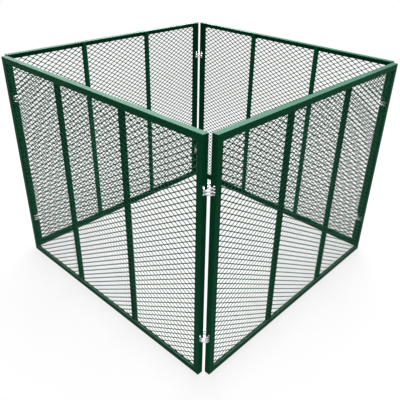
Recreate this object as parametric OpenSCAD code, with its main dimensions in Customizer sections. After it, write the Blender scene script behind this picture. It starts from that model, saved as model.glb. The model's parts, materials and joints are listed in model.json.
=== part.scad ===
// Leaf composter bin: four welded panels of angle steel and diamond mesh, linked at the corners
// by spiral wire clips that let the square fold flat. Millimetres, +Z up. The origin lies on the
// ground under the middle of the bin, and the front panel faces -Y.

/* [Panels] */
// Length of one panel
panel_length = 950; // [600:10:1300]
// Height of one panel
panel_height = 800; // [450:10:1200]
// Gap between two panels where they meet at a corner
corner_gap = 5; // [3:0.5:8]

/* [Frame angle] */
// Leg of the angle steel that the frames are made of
angle_w = 20; // [20:1:30]
// Thickness of the angle steel
angle_t = 3; // [2:0.1:4]
// Radius of the angle's outer edges
angle_edge_r = 1; // [0.3:0.1:2]
// Radius in the angle's root
angle_root_r = 1.5; // [0.5:0.1:2]

/* [Inner bars] */
// Side of the square inner bars
bar_w = 15; // [10:1:20]
// Wall of the inner bars
bar_wall = 1.2; // [0.8:0.1:2]
// Radius of the inner bars' outer edges
bar_edge_r = 1.5; // [0.5:0.1:2.5]
// Distance between the middles of the two inner bars
bar_spacing = 317; // [120:1:500]

/* [Mesh] */
// Diamonds along one panel
mesh_columns = 10; // [6:1:10]
// Diamonds up one panel
mesh_rows = 13; // [8:1:13]
// Width of a mesh strand
strand_w = 8; // [4:0.5:12]
// Thickness of the mesh sheet
mesh_t = 2; // [1:0.1:3]
// Reach of the sheet behind the legs of the frame
mesh_lap = 8; // [4:0.5:10]

/* [Clips] */
// Diameter of the clip wire
clip_wire_d = 6; // [4:0.5:7]
// Turns in one clip
clip_turns = 2.4; // [1.5:0.1:3.5]
// Rise of a clip for each of its turns
clip_pitch = 9; // [8:0.5:16]
// Height of a clip's middle above the panel's foot, and below the panel's top
clip_inset = 150; // [60:1:200]
// Clearance round the clip wire in its slots
clip_clear = 0.5; // [0.3:0.1:1]
// Room between a clip's slot and the outer leg of the post that it runs behind
clip_room = 1; // [0.5:0.1:2]

/* [Hidden] */
// Distances from the middle of the bin
panel_end = panel_length / 2;
hinge_line = panel_end + corner_gap / 2;
inner_face = panel_end + corner_gap;
outer_face = inner_face + angle_w;

// The sheet lies against the back of the frame's outer legs, and the bars back the sheet
mesh_face = outer_face - angle_t;
bar_middle = mesh_face - mesh_t - bar_w / 2;
bar_length = panel_height - 2 * angle_t;

// The sheet fills the opening of the frame and laps it all round
sheet_w = panel_length - 2 * angle_w + 2 * mesh_lap;
sheet_h = panel_height - 2 * angle_w + 2 * mesh_lap;

// Diamonds of the mesh, each drawn in by half a strand
mesh_pitch_x = sheet_w / mesh_columns;
mesh_pitch_z = sheet_h / mesh_rows;
strand_offset = mesh_pitch_x * mesh_pitch_z / norm([mesh_pitch_x, mesh_pitch_z]) / 2;
gap_share = 1 - strand_w / 2 / strand_offset;
mesh_border = mesh_lap;

// Coil of a clip: it winds round the hinge line, through the end legs of both posts
clip_wire_r = clip_wire_d / 2;
clip_r = corner_gap / 2 + angle_w - angle_t - clip_room - clip_clear - clip_wire_r;
clip_rise = clip_pitch * clip_turns;
clip_lead = atan(clip_pitch / (2 * PI * clip_r));
clip_levels = [clip_inset, panel_height - clip_inset];
slot_h = clip_rise + clip_wire_d + 2 * clip_clear;
slot_r_in = clip_r - clip_wire_r - clip_clear;
slot_r_out = clip_r + clip_wire_r + clip_clear;

// How finely the clip wire is drawn
rings_per_turn = 24;
wire_sides = 6;
wire_steps = ceil(clip_turns * rings_per_turn);

// Reach of a cut past what it cuts
overrun = 1;

$fn = 48;
paint = "#1d4a38";
zinc = "#c9ced0";

// Panels in turn round the bin, each a quarter turn from the last, and the two levels of the clips
SIDES = ["front", "right", "rear", "left"];
LEVELS = ["lower", "upper"];
last_panel = len(SIDES) - 1;
quarter_turn = 90;

// A panel's own pieces are named by the panel, and its posts and bars by the side they are near
function near_side(panel, end) = SIDES[(panel + len(SIDES) + end) % len(SIDES)];
function piece(panel, words) = str(SIDES[panel], "_", words);
function end_piece(panel, end, word) = str(SIDES[panel], "_", near_side(panel, end), "_", word);
function clip_name(panel, level) = str(SIDES[panel], "_", near_side(panel, 1), "_", level, "_clip");

// Square with rounded corners about the origin
module rounded_square(side, edge_r) {
    corner = side / 2 - edge_r;
    square([2 * corner, side], center = true);
    square([side, 2 * corner], center = true);
    for (x = [-corner, corner], y = [-corner, corner]) translate([x, y]) circle(edge_r);
}

// Cross-section of the bars
module tube_section() {
    difference() {
        rounded_square(bar_w, bar_edge_r);
        square(bar_w - 2 * bar_wall, center = true);
    }
}

// Cross-section of the angle, its heel at the origin and its legs along +X and +Y
module angle_section() {
    root = angle_t + angle_root_r;
    difference() {
        translate([angle_w / 2, angle_w / 2]) rounded_square(angle_w, angle_edge_r);
        translate([root, angle_t]) square(angle_w);
        translate([angle_t, root]) square(angle_w);
        translate([root, root]) circle(angle_root_r);
    }
}

// Frame angle along X: one leg on the ground, the other upright at Y = 0, both ends mitred inwards
module mitred_angle(length) {
    long = length / 2 + overrun;
    short = length / 2 - angle_w - overrun;
    intersection() {
        rotate([90, 0, 90]) linear_extrude(length + 2 * overrun, center = true) angle_section();
        translate([0, angle_w / 2, 0]) rotate([90, 0, 0])
            linear_extrude(angle_w + 2 * overrun, center = true)
                polygon([[-long, -overrun], [long, -overrun],
                    [short, angle_w + overrun], [-short, angle_w + overrun]]);
    }
}

// Ring-shaped slots round the hinge line, one for each level of the clips
module clip_slots() {
    for (z = clip_levels) translate([0, 0, z]) difference() {
        cylinder(h = slot_h, r = slot_r_out, center = true);
        cylinder(h = slot_h + 2 * overrun, r = slot_r_in, center = true);
    }
}

module bottom_rail() {
    color(paint) translate([0, -outer_face, 0]) mitred_angle(panel_length);
}

module top_rail() {
    color(paint) translate([0, -outer_face, panel_height]) rotate([0, 180, 0]) mitred_angle(panel_length);
}

// Upright at one end of a panel, its end leg slotted for the clips
module post(end) {
    color(paint) difference() {
        translate([end * panel_end, -outer_face, panel_height / 2])
            rotate([0, -end * 90, 0]) mitred_angle(panel_height);
        translate([end * hinge_line, -hinge_line, 0]) clip_slots();
    }
}

// Upright between the inward legs of the rails, welded to the back of the mesh
module bar(end) {
    color(paint) translate([end * bar_spacing / 2, -bar_middle, angle_t])
        linear_extrude(bar_length) tube_section();
}

// All the gaps of the mesh, drawn with the sheet's lower left corner at the origin
module diamonds() {
    reach = gap_share * [mesh_pitch_x, mesh_pitch_z] / 2;
    for (row = [0:2 * mesh_rows]) {
        shift = row % 2 == 0 ? 1 / 2 : 0;
        for (column = [0:mesh_columns - 2 * shift])
            translate([(column + shift) * mesh_pitch_x, row * mesh_pitch_z / 2])
                polygon([[reach.x, 0], [0, reach.y], [-reach.x, 0], [0, -reach.y]]);
    }
}

// Diamond sheet, its plain border hidden behind the legs of the frame
module mesh_sheet() {
    color(paint) translate([-sheet_w / 2, -mesh_face + mesh_t, (panel_height - sheet_h) / 2])
        rotate([90, 0, 0]) linear_extrude(mesh_t) difference() {
            square([sheet_w, sheet_h]);
            intersection() {
                translate([mesh_border, mesh_border])
                    square([sheet_w - 2 * mesh_border, sheet_h - 2 * mesh_border]);
                diamonds();
            }
        }
}

// Middle of the clip wire, from its upper end down, winding to the left as it climbs
function wire_middle(step) =
    let (turn = 360 * clip_turns * step / wire_steps)
    [clip_r * cos(turn), clip_r * sin(turn), clip_rise * (1 / 2 - step / wire_steps)];

// Point on the wire's skin: side 0 faces away from the hinge line
function wire_point(step, side) =
    let (
        turn = 360 * clip_turns * step / wire_steps,
        around = 360 * side / wire_sides,
        out = [cos(turn), sin(turn), 0],
        up = [-sin(turn) * sin(clip_lead), cos(turn) * sin(clip_lead), cos(clip_lead)]
    )
    wire_middle(step) + clip_wire_r * (cos(around) * out + sin(around) * up);

// Least gap between turns of the wire, measured on the points of its middle line
wire_gap = min([
    for (a = [0:wire_steps - rings_per_turn / 2])
        for (b = [a + rings_per_turn / 2:wire_steps])
            norm(wire_middle(a) - wire_middle(b))
]) - clip_wire_d;
echo(str("least gap of a clip's wire to itself: ", wire_gap, " mm"));

// Spiral clip about its own axis, its upper end towards +X
module clip() {
    points = [for (step = [0:wire_steps], side = [0:wire_sides - 1]) wire_point(step, side)];
    last = wire_steps * wire_sides;
    walls = [
        for (step = [0:wire_steps - 1], side = [0:wire_sides - 1])
            let (
                a = step * wire_sides + side,
                b = step * wire_sides + (side + 1) % wire_sides
            )
            each [[a, b, b + wire_sides], [a, b + wire_sides, a + wire_sides]]
    ];
    ends = [
        for (side = [1:wire_sides - 2])
            each [[0, side + 1, side], [last, last + side, last + side + 1]]
    ];
    color(zinc) polyhedron(points, concat(walls, ends), convexity = 8);
}

// Clip at the corner where a panel meets the next one, its upper end towards the outside
module corner_clip(z) {
    translate([hinge_line, -hinge_line, z]) rotate([0, 0, -45]) clip();
}

module draw(name) {
    children();
}

for (panel = [0:last_panel]) rotate([0, 0, quarter_turn * panel]) {
    draw(piece(panel, "top_rail")) top_rail();
    draw(piece(panel, "bottom_rail")) bottom_rail();
    draw(piece(panel, "mesh")) mesh_sheet();
    for (end = [-1, 1]) {
        draw(end_piece(panel, end, "post")) post(end);
        draw(end_piece(panel, end, "bar")) bar(end);
    }
    for (level = [0:len(LEVELS) - 1])
        draw(clip_name(panel, LEVELS[level])) corner_clip(clip_levels[level]);
}
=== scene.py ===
import json
import math

import bmesh
import bpy
from bpy.props import FloatProperty, FloatVectorProperty, IntProperty, PointerProperty
from mathutils import Matrix, Vector


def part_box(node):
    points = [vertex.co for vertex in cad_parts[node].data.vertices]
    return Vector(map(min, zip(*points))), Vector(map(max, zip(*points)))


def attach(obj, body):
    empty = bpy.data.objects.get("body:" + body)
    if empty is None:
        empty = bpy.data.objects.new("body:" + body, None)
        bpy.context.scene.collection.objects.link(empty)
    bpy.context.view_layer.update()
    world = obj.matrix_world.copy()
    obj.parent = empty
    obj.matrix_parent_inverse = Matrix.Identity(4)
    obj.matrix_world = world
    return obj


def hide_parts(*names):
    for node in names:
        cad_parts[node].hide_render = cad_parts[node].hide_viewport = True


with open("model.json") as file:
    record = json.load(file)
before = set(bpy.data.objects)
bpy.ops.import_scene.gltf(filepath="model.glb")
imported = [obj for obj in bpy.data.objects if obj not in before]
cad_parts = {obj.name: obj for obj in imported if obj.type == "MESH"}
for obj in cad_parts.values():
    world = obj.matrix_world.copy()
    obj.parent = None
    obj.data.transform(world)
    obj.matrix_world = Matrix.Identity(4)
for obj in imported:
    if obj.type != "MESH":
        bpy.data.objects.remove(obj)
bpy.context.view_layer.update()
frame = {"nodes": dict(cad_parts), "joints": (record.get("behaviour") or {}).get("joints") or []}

bl_info = {
    "name": "Leaf Composter Bin",
    "version": (1, 0, 0),
    "blender": (4, 5, 0),
    "location": "View3D > Sidebar > Composter",
    "description": "Expanded mesh, spiral clips, welds and paint for a folding composter bin",
    "category": "Object",
}

SIDES = ("front", "right", "rear", "left")
LEVELS = ("lower", "upper")
JOINTS = {joint["name"]: joint for joint in frame["joints"]}


def side_turn(side):
    """Turn that takes a piece of the front panel to the same place on another panel."""
    return Matrix.Rotation(SIDES.index(side) * math.pi / 2, 4, "Z")


def next_side(side, step=1):
    """The side that lies some quarter turns further on."""
    return SIDES[(SIDES.index(side) + step) % len(SIDES)]


def frame_names(side):
    """The rails, posts and bars of one panel."""
    near = (next_side(side, -1), next_side(side))
    rails = [f"{side}_top_rail", f"{side}_bottom_rail"]
    return rails + [f"{side}_{end}_{kind}" for kind in ("post", "bar") for end in near]


# Settings

class MeshSettings(bpy.types.PropertyGroup):
    """Expanded metal of the panels"""
    columns: IntProperty(
        name="Columns", description="Diamonds along one panel", default=31, min=4)
    rows: IntProperty(
        name="Rows", description="Diamonds up one panel", default=43, min=4)
    strand_width: FloatProperty(
        name="Strand width", description="Width of one strand", default=0.0027, unit="LENGTH")
    strand_thickness: FloatProperty(
        name="Strand thickness", description="Thickness of the slit sheet", default=0.0016, unit="LENGTH")
    strand_tilt: FloatProperty(
        name="Strand tilt", description="Lean of the strands, upper edge outwards",
        default=math.radians(18), subtype="ANGLE")
    bond: FloatProperty(
        name="Bond", description="Length over which two strands are joined", default=0.0035, unit="LENGTH")


class ClipSettings(bpy.types.PropertyGroup):
    """Wire clips at the corners"""
    coil_radius: FloatProperty(
        name="Coil radius", description="From the hinge line to the middle of the wire",
        default=0.015, unit="LENGTH")
    wire_radius: FloatProperty(
        name="Wire radius", description="Radius of the wire", default=0.003, unit="LENGTH")
    turns: FloatProperty(
        name="Turns", description="Turns of one clip", default=2.4)
    pitch: FloatProperty(
        name="Pitch", description="Rise of a clip for each turn", default=0.009, unit="LENGTH")


class WeldSettings(bpy.types.PropertyGroup):
    """Weld beads on the inside of the frames"""
    width: FloatProperty(
        name="Width", description="Width of a weld bead", default=0.005, unit="LENGTH")
    height: FloatProperty(
        name="Height", description="Height of a bead over the steel", default=0.0013, unit="LENGTH")
    ripple: FloatProperty(
        name="Ripple", description="Distance between the ripples of a bead", default=0.0016, unit="LENGTH")


class FinishSettings(bpy.types.PropertyGroup):
    """Colours of the paint and the wire"""
    paint: FloatVectorProperty(
        name="Paint", description="Colour of the powder coat", subtype="COLOR",
        default=(0.004, 0.088, 0.037), min=0, max=1)
    # Pale colour laid on upward faces: dust, and painted top light that stands in for the light from above
    dust_and_top_light: FloatVectorProperty(
        name="Dust and top light", description="Colour of dust and bleached paint on upward faces", subtype="COLOR",
        default=(0.49, 0.68, 0.7), min=0, max=1)
    # Dark colour laid on the lowest upward faces: earth stain and painted shade
    earth_and_shade: FloatVectorProperty(
        name="Earth and shade", description="Colour of the stains on the feet of the panels", subtype="COLOR",
        default=(0.012, 0.022, 0.012), min=0, max=1)
    zinc: FloatVectorProperty(
        name="Zinc", description="Colour of the galvanised wire", subtype="COLOR",
        default=(0.72, 0.73, 0.77), min=0, max=1)


class StageSettings(bpy.types.PropertyGroup):
    """Floor and light"""
    floor_size: FloatProperty(
        name="Floor", description="Side of the floor", default=30.0, unit="LENGTH")
    lamp_power: FloatProperty(
        name="Lamp", description="Power of the large lamp above and behind", default=180.0, unit="POWER")
    corner_power: FloatProperty(
        name="Corner lamp", description="Power of the lamp over the front corner", default=5.0, unit="POWER")
    side_power: FloatProperty(
        name="Side lamp", description="Power of the sheen from a long low lamp", default=46.0, unit="POWER")
    rear_power: FloatProperty(
        name="Rear lamp", description="Power of the sheen from a small low lamp", default=16.0, unit="POWER")
    sky: FloatProperty(
        name="Sky", description="Strength of the light from all round", default=0.35)


class ComposterSettings(bpy.types.PropertyGroup):
    """All the settings of the bin"""
    mesh: PointerProperty(type=MeshSettings)
    clip: PointerProperty(type=ClipSettings)
    weld: PointerProperty(type=WeldSettings)
    finish: PointerProperty(type=FinishSettings)
    stage: PointerProperty(type=StageSettings)


# Finishes

class Value:
    """A shader value. Python's operators on it add Math nodes."""

    def __init__(self, finish, socket):
        self.finish = finish
        self.socket = socket

    def math(self, operation, first, second):
        """Add a Math node that works on two values or numbers."""
        return self.finish.node("Math", {"operation": operation}, {0: first, 1: second})

    def __add__(self, other):
        return self.math("ADD", self, other)

    def __sub__(self, other):
        return self.math("SUBTRACT", self, other)

    def __rsub__(self, other):
        return self.math("SUBTRACT", other, self)

    def __mul__(self, other):
        return self.math("MULTIPLY", self, other)

    __radd__ = __add__
    __rmul__ = __mul__


# Sockets of a Mix node that mixes colours, whose names repeat
MIX_SHARE = 0
MIX_FIRST = 6
MIX_SECOND = 7
MIX_RESULT = 2


class Finish:
    """A node tree of a material or of the world, and the nodes that are added to it."""

    def __init__(self, owner):
        owner.use_nodes = True
        self.tree = owner.node_tree
        self.tree.nodes.clear()

    def node(self, kind, settings=None, inputs=None, output=0):
        """Add a node, set it, feed its sockets and give back one of its outputs."""
        made = self.tree.nodes.new("ShaderNode" + kind)
        for name, value in (settings or {}).items():
            if name == "stops":
                self.set_stops(made.color_ramp, value)
            else:
                setattr(made, name, value)
        for key, value in (inputs or {}).items():
            if isinstance(value, Value):
                self.tree.links.new(value.socket, made.inputs[key])
            else:
                made.inputs[key].default_value = value
        return Value(self, made.outputs[output]) if made.outputs else None

    @staticmethod
    def set_stops(ramp, stops):
        """Give a colour ramp its places and the greys there."""
        while len(ramp.elements) < len(stops):
            ramp.elements.new(1.0)
        for element, (place, grey) in zip(ramp.elements, stops):
            element.position = place
            element.color = (grey, grey, grey, 1.0)

    def noise(self, place, scale, detail=2.0, roughness=0.5):
        """Cloudy noise from 0 to 1."""
        return self.node("TexNoise", None, {
            "Vector": place, "Scale": scale, "Detail": detail, "Roughness": roughness})

    def ramp(self, value, low, high):
        """0 up to low, rising to 1 at high."""
        return self.node("ValToRGB", {"stops": ((low, 0.0), (high, 1.0))}, {"Fac": value})

    def mix(self, share, first, second):
        """Colour that goes from first to second."""
        inputs = {MIX_SHARE: share, MIX_FIRST: first, MIX_SECOND: second}
        return self.node("Mix", {"data_type": "RGBA"}, inputs, output=MIX_RESULT)

    def part(self, vector, axis):
        """One coordinate of a vector."""
        return self.node("SeparateXYZ", None, {"Vector": vector}, output=axis)


def shade(colour, gain=1.0):
    """A colour made lighter or darker, as a socket takes it."""
    return (colour[0] * gain, colour[1] * gain, colour[2] * gain, 1.0)


# Powder coat: heights between which the earth stain and painted shade on the feet, and the painted highlight
# on the low upward edges just over them, fade out
EARTH_AND_SHADE_FULL_HEIGHT = 0.006
EARTH_AND_SHADE_END_HEIGHT = 0.018
EDGE_HIGHLIGHT_FULL_HEIGHT = 0.022
EDGE_HIGHLIGHT_END_HEIGHT = 0.04

# Shares of what lies on the paint and of the painted top light, painted shade and painted edge highlight,
# and roughness of the paint and of its clouds and dust
EARTH_AND_SHADE_SHARE = 0.5
EARTH_AND_SHADE_PATCH_SHARE = 0.4
TOP_LIGHT_AND_DUST_SHARE = 0.058
TOP_DUST_PATCH_SHARE = 0.04
PAINTED_EDGE_HIGHLIGHT_SHARE = 0.16
SPECK_SHARE = 0.3
PAINT_ROUGHNESS = 0.38
CLOUD_ROUGHNESS = 0.1
DUST_ROUGHNESS = 0.12


def powder_coat(paint, dust_and_top_light, earth_and_shade):
    """Satin green powder coat: cloudy, fine orange peel, rubbed specks, dust and painted top light on upward
    faces, a painted highlight on the low edges, earth stain and painted shade on the feet.
    """
    material = bpy.data.materials.new("green_powder_coat")
    finish = Finish(material)
    place = finish.node("TexCoord", output="Object")
    normal = finish.node("NewGeometry", output="Normal")
    upward = finish.ramp(finish.part(normal, "Z"), low=0.2, high=0.75)
    height = finish.part(place, "Z")
    high_up = finish.ramp(height, low=EARTH_AND_SHADE_FULL_HEIGHT, high=EARTH_AND_SHADE_END_HEIGHT)
    # Mask of the low upward edges, which get a painted highlight
    low_edge_highlight = 1 - finish.ramp(height, low=EDGE_HIGHLIGHT_FULL_HEIGHT, high=EDGE_HIGHLIGHT_END_HEIGHT)
    clouds = finish.noise(place, scale=9.0, detail=3.0)
    peel = finish.noise(place, scale=750.0, detail=1.0)
    dust = finish.ramp(finish.noise(place, scale=26.0, detail=5.0, roughness=0.6), low=0.3, high=0.75)
    specks = finish.ramp(finish.noise(place, scale=160.0, detail=4.0, roughness=0.65), low=0.66, high=0.78)
    # Upward faces made paler: dust and painted top light, and a painted highlight on the low upward edges
    dust_and_top_light_share = upward * high_up * (TOP_LIGHT_AND_DUST_SHARE + dust * TOP_DUST_PATCH_SHARE + low_edge_highlight * PAINTED_EDGE_HIGHLIGHT_SHARE)
    # Lowest upward faces made darker: earth stain and painted shade
    earth_and_shade_share = upward * (1 - high_up) * (EARTH_AND_SHADE_SHARE + dust * EARTH_AND_SHADE_PATCH_SHARE)
    colour = finish.mix(clouds, shade(paint, gain=0.82), shade(paint, gain=1.18))
    colour = finish.mix(dust_and_top_light_share, colour, shade(dust_and_top_light))
    colour = finish.mix(earth_and_shade_share, colour, shade(earth_and_shade))
    colour = finish.mix(specks * SPECK_SHARE, colour, shade(paint, gain=1.7))
    bump = finish.node("Bump", None, {"Strength": 0.12, "Distance": 0.0003, "Height": peel})
    surface = finish.node("BsdfPrincipled", None, {
        "Base Color": colour,
        "Roughness": PAINT_ROUGHNESS + clouds * CLOUD_ROUGHNESS + dust * DUST_ROUGHNESS,
        "Specular IOR Level": 0.02,
        "Normal": bump,
    })
    finish.node("OutputMaterial", None, {"Surface": surface})
    return material


# Zinc: share of the spangle, and roughness of the bright wire and of its dull patches
SPANGLE_SHARE = 0.4
ZINC_ROUGHNESS = 0.28
PATCH_ROUGHNESS = 0.2


def galvanised(zinc):
    """Hot-dipped wire: bright zinc with dull patches and a faint grain."""
    material = bpy.data.materials.new("galvanised_wire")
    finish = Finish(material)
    place = finish.node("TexCoord", output="Object")
    spangle = finish.node("TexVoronoi", None, {"Vector": place, "Scale": 420.0})
    patches = finish.ramp(finish.noise(place, scale=120.0, detail=4.0, roughness=0.6), low=0.4, high=0.7)
    grain = finish.noise(place, scale=1500.0)
    colour = finish.mix(patches, shade(zinc), shade(zinc, gain=0.66))
    colour = finish.mix(spangle * SPANGLE_SHARE, colour, shade(zinc, gain=0.9))
    bump = finish.node("Bump", None, {"Strength": 0.15, "Distance": 0.0002, "Height": grain})
    surface = finish.node("BsdfPrincipled", None, {
        "Base Color": colour,
        "Metallic": 1.0,
        "Roughness": ZINC_ROUGHNESS + patches * PATCH_ROUGHNESS,
        "Normal": bump,
    })
    finish.node("OutputMaterial", None, {"Surface": surface})
    return material


def paint_finish(settings):
    """The powder coat, made when it is first asked for."""
    made = bpy.data.materials.get("green_powder_coat")
    return made or powder_coat(settings.finish.paint, settings.finish.dust_and_top_light, settings.finish.earth_and_shade)


def zinc_finish(settings):
    """The zinc, made when it is first asked for."""
    return bpy.data.materials.get("galvanised_wire") or galvanised(settings.finish.zinc)


# Pieces

def add_piece(name, mesh, material, body, replaced=None):
    """Put a finished mesh into the scene as a piece that moves with a body."""
    piece = bpy.data.objects.new(name, mesh)
    bpy.context.scene.collection.objects.link(piece)
    mesh.materials.append(material)
    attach(piece, body)
    if replaced:
        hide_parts(replaced)
    return piece


def add_to_panels(bm, words, material, replaced=None):
    """Copy the front panel's piece to all four panels, and free its bmesh."""
    for side in SIDES:
        mesh = bpy.data.meshes.new(f"{side}_{words}")
        bm.to_mesh(mesh)
        mesh.transform(side_turn(side))
        node = f"{side}_{replaced}" if replaced else None
        add_piece(f"{side}_{words}", mesh, material, f"{side}_panel", node)
    bm.free()


def made_parts(made, kind):
    """The vertices, edges or faces that a bmesh operator has made."""
    return [part for part in made["geom"] if isinstance(part, kind)]


def everything(bm):
    """All that a bmesh holds, as its operators take it."""
    return bm.verts[:] + bm.edges[:] + bm.faces[:]


def pull_face(bm, face, step, growth=1.0):
    """Extrude a face by a step, change its size, and give back the face at the new end."""
    pulled = bmesh.ops.extrude_face_region(bm, geom=[face, *face.edges])
    verts = made_parts(pulled, bmesh.types.BMVert)
    bmesh.ops.translate(bm, verts=verts, vec=step)
    end = made_parts(pulled, bmesh.types.BMFace)[0]
    middle = Matrix.Translation(-end.calc_center_median())
    bmesh.ops.scale(bm, vec=(growth, growth, growth), space=middle, verts=verts)
    return end


def copy_along(bm, geom, step, count):
    """Repeat a shape at equal steps."""
    for number in range(1, count):
        copied = bmesh.ops.duplicate(bm, geom=geom)
        bmesh.ops.translate(bm, verts=made_parts(copied, bmesh.types.BMVert), vec=step * number)


# Mesh sheets

# Vertices nearer than this are one
MERGE_DISTANCE = 0.00001


def strand_path(columns, bond, slope):
    """Steps of a strand: half a bond, then a wave of slopes and bonds, and half a bond."""
    level = Vector((bond, 0, 0))
    back = Vector((slope.x, -slope.y, -slope.z))
    wave = [slope, level, back, level] * columns
    return [level / 2] + wave[:-1] + [level / 2]


def pull_strand(bm, start, sizes, tilt, steps):
    """Lay a flat section at the start of a strand and pull it along the strand's steps."""
    section = bmesh.ops.create_grid(bm, x_segments=1, y_segments=1, size=0.5)
    upright = Matrix.Rotation(-math.pi / 2, 4, "Y")
    lean = Matrix.Rotation(tilt, 4, "X")
    bmesh.ops.transform(
        bm, matrix=Matrix.Translation(start) @ lean @ Matrix.Diagonal((1, *sizes, 1)) @ upright,
        verts=section["verts"])
    face = section["verts"][0].link_faces[0]
    for step in steps:
        face = pull_face(bm, face, step)


def fuse(bm):
    """Join shapes that meet face to face into one skin, without the faces between them."""
    bmesh.ops.remove_doubles(bm, verts=bm.verts, dist=MERGE_DISTANCE)
    inner = [face for face in bm.faces if all(len(edge.link_faces) > 2 for edge in face.edges)]
    bmesh.ops.delete(bm, geom=inner, context="FACES_ONLY")


def expanded_sheet(mesh):
    """Front sheet of expanded metal: waved strands, each joined to the next at its crests."""
    low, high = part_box("front_mesh")
    pitch = (high.x - low.x) / mesh.columns
    strand_height = (high.z - low.z) / mesh.rows / 2
    reach_out = mesh.strand_width * math.sin(mesh.strand_tilt)
    reach_up = mesh.strand_width * math.cos(mesh.strand_tilt)
    middle = (low.y + high.y) / 2
    slope = Vector((pitch / 2 - mesh.bond, reach_out, strand_height - reach_up))
    sizes = (mesh.strand_thickness, mesh.strand_width)
    bm = bmesh.new()
    for row, sense in ((0, 1), (1, -1)):
        height = low.z + (row + 0.5) * strand_height
        run = Vector((slope.x, sense * slope.y, sense * slope.z))
        start = Vector((low.x, middle - run.y / 2, height - run.z / 2))
        pull_strand(bm, start, sizes, mesh.strand_tilt, strand_path(mesh.columns, mesh.bond, run))
    copy_along(bm, everything(bm), Vector((0, 0, 2 * strand_height)), mesh.rows)
    fuse(bm)
    bmesh.ops.recalc_face_normals(bm, faces=bm.faces)
    return bm


class COMPOSTER_OT_mesh_sheets(bpy.types.Operator):
    """Fill the four frames with expanded metal"""
    bl_idname = "composter.mesh_sheets"
    bl_label = "Mesh Sheets"

    def execute(self, context):
        settings = context.scene.composter
        add_to_panels(expanded_sheet(settings.mesh), "expanded_mesh", paint_finish(settings), "mesh")
        return {"FINISHED"}


# Spiral clips

# How finely the wire is drawn, and the rounding of its ends
WIRE_SIDES = 16
STEPS_PER_TURN = 48
WIRE_END_ROUND = 0.0012
WIRE_END_STEPS = 3


def spiral_clip(clip):
    """A clip on its own axis: round wire wound to the left, its upper end towards +X."""
    rise = clip.pitch * clip.turns
    lead = math.atan2(clip.pitch, 2 * math.pi * clip.coil_radius)
    steps = round(clip.turns * STEPS_PER_TURN)
    bm = bmesh.new()
    bmesh.ops.create_circle(bm, cap_ends=True, segments=WIRE_SIDES, radius=clip.wire_radius)
    place = Matrix.Translation((clip.coil_radius, 0, rise / 2))
    facing = Matrix.Rotation(math.pi / 2 - lead, 4, "X")
    bmesh.ops.transform(bm, matrix=place @ facing, verts=bm.verts)
    bmesh.ops.spin(
        bm, geom=everything(bm), cent=(0, 0, 0), axis=(0, 0, 1), dvec=(0, 0, -rise / steps),
        angle=2 * math.pi * clip.turns, steps=steps)
    ends = [face for face in bm.faces if len(face.verts) == WIRE_SIDES]
    rims = [edge for face in ends for edge in face.edges]
    bmesh.ops.bevel(
        bm, geom=rims, offset=WIRE_END_ROUND, affect="EDGES", segments=WIRE_END_STEPS, profile=0.5,
        material=-1)
    bmesh.ops.recalc_face_normals(bm, faces=bm.faces)
    for face in bm.faces:
        face.smooth = len(face.verts) < WIRE_SIDES
    return bm


class COMPOSTER_OT_spiral_clips(bpy.types.Operator):
    """Wind the eight wire clips that link the panels"""
    bl_idname = "composter.spiral_clips"
    bl_label = "Spiral Clips"

    def execute(self, context):
        settings = context.scene.composter
        bm = spiral_clip(settings.clip)
        for side in SIDES:
            for level in LEVELS:
                node = f"{side}_{next_side(side)}_{level}_clip"
                mesh = bpy.data.meshes.new(f"{node}_wire")
                bm.to_mesh(mesh)
                turn = side_turn(side) @ Matrix.Rotation(-math.pi / 4, 4, "Z")
                mesh.transform(Matrix.Translation(JOINTS[f"{node}_turn"]["pos_m"]) @ turn)
                add_piece(f"{node}_wire", mesh, zinc_finish(settings), node, node)
        bm.free()
        return {"FINISHED"}


# Weld seams

# How finely a bead is drawn, and its size at its tips and between two ripples
BEAD_SIDES = 10
BEAD_TIP_SHARE = 0.35
BEAD_PINCH_SHARE = 0.78

# Distance of a seam's ends from the mesh in front of it and from the open side of the frame
SEAM_START = 0.002
SEAM_END = 0.001


def bead(bm, start, end, up, weld):
    """A weld bead from start to end: one skin that swells at each ripple, half sunk into the steel."""
    along = (end - start).normalized()
    ripples = max(2, round((end - start).length / weld.ripple))
    shares = [BEAD_TIP_SHARE] + [1.0, BEAD_PINCH_SHARE] * (ripples - 1) + [1.0, BEAD_TIP_SHARE]
    turn = Matrix((up.cross(along), up, along)).transposed().to_4x4()
    size = Matrix.Diagonal((shares[0] * weld.width, shares[0] * 2 * weld.height, 1, 1))
    section = bmesh.ops.create_circle(bm, cap_ends=True, segments=BEAD_SIDES, radius=0.5)
    bmesh.ops.transform(bm, matrix=Matrix.Translation(start) @ turn @ size, verts=section["verts"])
    face = section["verts"][0].link_faces[0]
    for share, next_share in zip(shares, shares[1:]):
        face = pull_face(bm, face, (end - start) / (2 * ripples), next_share / share)


def frame_seams():
    """Start, end and facing of the seams in the front panel's corners, where the angles are mitred."""
    low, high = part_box("front_bottom_rail")
    sheet_low, sheet_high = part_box("front_mesh")
    bar_low, bar_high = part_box("front_left_bar")
    # the bars stand on the inward leg of the rail
    leg = bar_low.z - low.z
    seams = []
    for x, sense_x, edge_x in ((low.x, 1, sheet_low.x), (high.x, -1, sheet_high.x)):
        for z, sense_z, edge_z in ((bar_low.z, 1, sheet_low.z), (bar_high.z, -1, sheet_high.z)):
            root = Vector((x + sense_x * leg, sheet_low.y, z))
            facing = Vector((sense_x, 0, sense_z)).normalized()
            start = Vector((root.x, root.y + SEAM_START, z))
            end = Vector((root.x, bar_high.y - SEAM_END, z))
            seams.append((start, end, facing))
            seams.append((root, Vector((edge_x, root.y, edge_z)), Vector((0, 1, 0))))
    return seams


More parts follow.
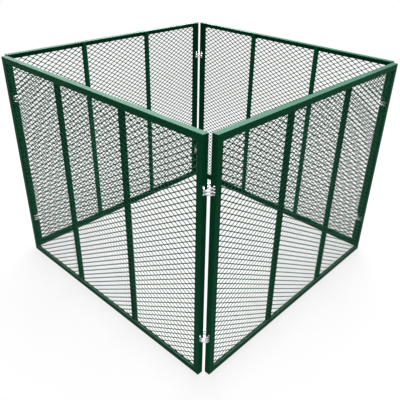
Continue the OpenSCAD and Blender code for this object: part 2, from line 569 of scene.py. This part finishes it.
def bar_seams():
    """Seams where the front panel's two bars meet the rails."""
    seams = []
    for end in (next_side("front", -1), next_side("front")):
        low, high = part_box(f"front_{end}_bar")
        for z, sense in ((low.z, 1), (high.z, -1)):
            for x, side in ((low.x, -1), (high.x, 1)):
                start = Vector((x, low.y + SEAM_START, z))
                stop = Vector((x, high.y - SEAM_END, z))
                seams.append((start, stop, Vector((side, 0, sense)).normalized()))
    return seams


class COMPOSTER_OT_weld_seams(bpy.types.Operator):
    """Lay the weld beads on the inside of the frames"""
    bl_idname = "composter.weld_seams"
    bl_label = "Weld Seams"

    def execute(self, context):
        settings = context.scene.composter
        bm = bmesh.new()
        for start, end, up in frame_seams() + bar_seams():
            bead(bm, start, end, up, settings.weld)
        for face in bm.faces:
            face.smooth = True
        bmesh.ops.recalc_face_normals(bm, faces=bm.faces)
        add_to_panels(bm, "weld_seams", paint_finish(settings))
        return {"FINISHED"}


# Frame paint

class COMPOSTER_OT_frame_paint(bpy.types.Operator):
    """Give the rails, posts and bars their powder coat"""
    bl_idname = "composter.frame_paint"
    bl_label = "Frame Paint"

    def execute(self, context):
        paint = paint_finish(context.scene.composter)
        for side in SIDES:
            for name in frame_names(side):
                mesh = frame["nodes"][name].data
                mesh.materials.clear()
                mesh.materials.append(paint)
        return {"FINISHED"}


# Stage

# Camera, fitted to the corners of the bin in a square picture
PICTURE_WIDTH = 400
FOCAL_PIXELS = 490.51
PRINCIPAL_POINT = (209.53, 200.59)
CAMERA_PLACE = Vector((1.1892, -1.2642, 1.2331))
CAMERA_AZIMUTH = math.radians(41.996)
CAMERA_ELEVATION = math.radians(30.106)
CAMERA_ROLL = math.radians(1.792)
SENSOR_WIDTH = 36.0


def add_camera(scene):
    """Look at the bin from the place and with the lens of the picture."""
    lens = bpy.data.cameras.new("camera")
    lens.sensor_width = SENSOR_WIDTH
    lens.lens = FOCAL_PIXELS / PICTURE_WIDTH * SENSOR_WIDTH
    lens.shift_x = (PICTURE_WIDTH / 2 - PRINCIPAL_POINT[0]) / PICTURE_WIDTH
    lens.shift_y = (PRINCIPAL_POINT[1] - PICTURE_WIDTH / 2) / PICTURE_WIDTH
    camera = bpy.data.objects.new("camera", lens)
    aim = Matrix.Rotation(CAMERA_AZIMUTH, 4, "Z") @ Matrix.Rotation(math.pi / 2 - CAMERA_ELEVATION, 4, "X")
    roll = Matrix.Rotation(CAMERA_ROLL, 4, "Z")
    camera.matrix_world = Matrix.Translation(CAMERA_PLACE) @ aim @ roll
    scene.collection.objects.link(camera)
    scene.camera = camera


def seen_directly(finish):
    """1 for rays from the camera, from glossy surfaces and through clear ones, else 0."""
    camera = finish.node("LightPath", output="Is Camera Ray")
    glossy = finish.node("LightPath", output="Is Glossy Ray")
    through = finish.node("LightPath", output="Is Transmission Ray")
    either = camera.math("MAXIMUM", camera, glossy)
    return either.math("MAXIMUM", either, through)


# Floor: its tones, and how it turns to plain white away from the bin
WHITE = (1.0, 1.0, 1.0)
FLOOR_BOUNCE = (0.45, 0.45, 0.45)
FLOOR_SEEN = (0.9, 0.9, 0.9)
FLOOR_WHITE_SHARE = 0.8
SHADED_REACH = 0.8
WHITE_REACH = 2.2


def add_floor(scene, size):
    """A floor that takes a soft shadow near the bin and is white further off."""
    bm = bmesh.new()
    bmesh.ops.create_grid(bm, x_segments=1, y_segments=1, size=size / 2)
    mesh = bpy.data.meshes.new("floor")
    bm.to_mesh(mesh)
    bm.free()
    material = bpy.data.materials.new("pale_floor")
    finish = Finish(material)
    seen = seen_directly(finish)
    tone = finish.mix(seen, shade(FLOOR_BOUNCE), shade(FLOOR_SEEN))
    plain = finish.node("BsdfDiffuse", None, {"Color": tone})
    white = finish.node("Emission", None, {"Color": shade(WHITE), "Strength": 1.0})
    place = finish.node("TexCoord", output="Object")
    away = finish.node("VectorMath", {"operation": "LENGTH"}, {0: place}, output="Value")
    far = finish.node("MapRange", {"interpolation_type": "SMOOTHSTEP"}, {
        "Value": away, "From Min": SHADED_REACH, "From Max": WHITE_REACH})
    share = FLOOR_WHITE_SHARE + far * (1 - FLOOR_WHITE_SHARE)
    surface = finish.node("MixShader", None, {0: seen * share, 1: plain, 2: white})
    finish.node("OutputMaterial", None, {"Surface": surface})
    mesh.materials.append(material)
    floor = bpy.data.objects.new("floor", mesh)
    scene.collection.objects.link(floor)


def add_sky(scene, strength):
    """White to the camera, and an even light of some strength to all else."""
    world = bpy.data.worlds.new("studio")
    finish = Finish(world)
    seen = seen_directly(finish)
    level = seen + (1 - seen) * strength
    light = finish.node("Background", None, {"Color": shade(WHITE), "Strength": level})
    finish.node("OutputWorld", None, {"Surface": light})
    scene.world = world


# Lamps: a large one above and behind, a narrow one straight over the front corner, and two low ones,
# at the left and behind the rear corner, that only show as a sheen
OVERHEAD_PLACE = Vector((-1.1, 1.4, 2.9))
OVERHEAD_AIM = Vector((0, 0, 0.5))
OVERHEAD_SIZE = (3.0, 3.0)
CORNER_PLACE = Vector((0.42, -0.42, 2.6))
CORNER_AIM = Vector((0.42, -0.42, 0))
CORNER_SIZE = (0.3, 0.3)
CORNER_SPREAD = math.radians(70)
SIDE_PLACE = Vector((-2.0, 0.75, 1.25))
SIDE_AIM = Vector((-0.3, -0.2, 0.8))
SIDE_SIZE = (2.4, 0.7)
REAR_PLACE = Vector((-1.5, 1.54, 1.06))
REAR_AIM = Vector((-0.45, 0.45, 0.8))
REAR_SIZE = (0.9, 0.35)


def add_lamp(scene, name, place, aim, size, power, spread=math.pi):
    """A flat lamp at a place, turned to what it is aimed at."""
    light = bpy.data.lights.new(name, "AREA")
    light.shape = "RECTANGLE"
    light.size, light.size_y = size
    light.energy = power
    light.spread = spread
    lamp = bpy.data.objects.new(name, light)
    turn = (aim - place).to_track_quat("-Z", "Y").to_matrix().to_4x4()
    lamp.matrix_world = Matrix.Translation(place) @ turn
    scene.collection.objects.link(lamp)
    return lamp


class COMPOSTER_OT_stage(bpy.types.Operator):
    """Set up the floor, the light and the camera"""
    bl_idname = "composter.stage"
    bl_label = "Stage"

    def execute(self, context):
        scene = context.scene
        stage = scene.composter.stage
        scene.view_settings.view_transform = "Standard"
        add_floor(scene, stage.floor_size)
        add_sky(scene, stage.sky)
        add_lamp(scene, "overhead", OVERHEAD_PLACE, OVERHEAD_AIM, OVERHEAD_SIZE, stage.lamp_power)
        add_lamp(scene, "corner", CORNER_PLACE, CORNER_AIM, CORNER_SIZE, stage.corner_power, CORNER_SPREAD)
        side = add_lamp(scene, "side", SIDE_PLACE, SIDE_AIM, SIDE_SIZE, stage.side_power)
        rear = add_lamp(scene, "rear", REAR_PLACE, REAR_AIM, REAR_SIZE, stage.rear_power)
        for sheen in (side, rear):
            sheen.visible_diffuse = False
        add_camera(scene)
        return {"FINISHED"}


# Panel and registration

class COMPOSTER_PT_parts(bpy.types.Panel):
    """Lists what makes the bin"""
    bl_idname = "COMPOSTER_PT_parts"
    bl_label = "Leaf Composter Bin"
    bl_space_type = "VIEW_3D"
    bl_region_type = "UI"
    bl_category = "Composter"

    def draw(self, context):
        for operator in OPERATORS:
            self.layout.operator(operator.bl_idname)
        settings = context.scene.composter
        for group in (settings.mesh, settings.clip, settings.weld, settings.finish, settings.stage):
            column = self.layout.column(align=True)
            for name in group.__annotations__:
                column.prop(group, name)


OPERATORS = (
    COMPOSTER_OT_frame_paint,
    COMPOSTER_OT_mesh_sheets,
    COMPOSTER_OT_spiral_clips,
    COMPOSTER_OT_weld_seams,
    COMPOSTER_OT_stage,
)
CLASSES = (
    MeshSettings,
    ClipSettings,
    WeldSettings,
    FinishSettings,
    StageSettings,
    ComposterSettings,
    *OPERATORS,
    COMPOSTER_PT_parts,
)


def register():
    for made in CLASSES:
        bpy.utils.register_class(made)
    bpy.types.Scene.composter = PointerProperty(type=ComposterSettings)


def unregister():
    del bpy.types.Scene.composter
    for made in reversed(CLASSES):
        bpy.utils.unregister_class(made)


def main():
    register()
    bpy.ops.composter.frame_paint()
    bpy.ops.composter.mesh_sheets()
    bpy.ops.composter.spiral_clips()
    bpy.ops.composter.weld_seams()
    bpy.ops.composter.stage()


if __name__ == "__main__":
    main()
